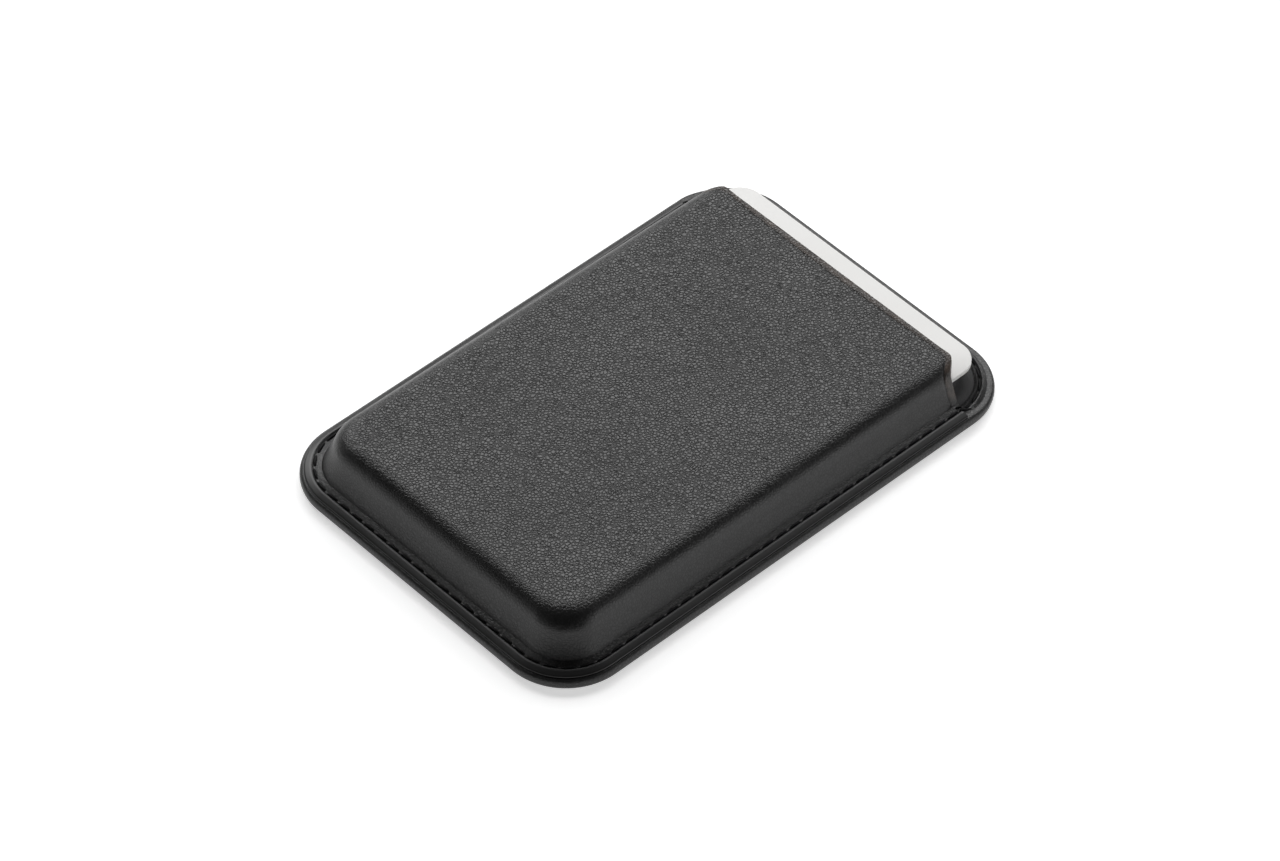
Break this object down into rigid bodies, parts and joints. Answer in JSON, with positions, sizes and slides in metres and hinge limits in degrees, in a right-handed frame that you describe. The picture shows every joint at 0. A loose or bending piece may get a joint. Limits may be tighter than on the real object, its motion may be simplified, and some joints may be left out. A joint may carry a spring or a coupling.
{
  "type": "card holder",
  "caption": "Slim moulded leather card holder with a stitched magnetic back panel, a raised pocket open at one short end, and a plain card that slides in it.",
  "frame": {"origin": "middle of the back panel's outline, on the plane that the back lies on", "axes": "+Y along the holder towards the pocket's mouth, +Z out of the pocket's front, +X across"},
  "size_m": [0.066, 0.097, 0.0098],
  "materials": {
    "leather": "satin, fine pebbled grain",
    "lining": "matt, smooth",
    "carrier": "moulded, matt",
    "magnet": "nickel plated",
    "steel": "bright rolled",
    "board": "fibre board",
    "thread": "waxed polyester thread",
    "card": "satin white"
  },
  "bodies": {
    "holder": {"back_leather": "leather", "magnet_carrier": "carrier", "magnet_01": "magnet", "magnet_02": "magnet", "magnet_03": "magnet", "magnet_04": "magnet", "magnet_05": "magnet", "magnet_06": "magnet", "magnet_07": "magnet", "magnet_08": "magnet", "magnet_09": "magnet", "magnet_10": "magnet", "magnet_11": "magnet", "magnet_12": "magnet", "magnet_13": "magnet", "magnet_14": "magnet", "magnet_15": "magnet", "magnet_16": "magnet", "alignment_magnet": "magnet", "shield_plate": "steel", "back_lining": "lining", "front_leather": "leather", "front_stiffener": "board", "front_lining": "lining", "seam_thread_top": "thread", "seam_thread_bottom": "thread"},
    "card": {"card": "card"}
  },
  "joints": [
    {"name": "card_slide", "type": "slide", "parent": "holder", "child": "card", "axis": [0, 1, 0], "range_m": [0, 0.09]}
  ]
}
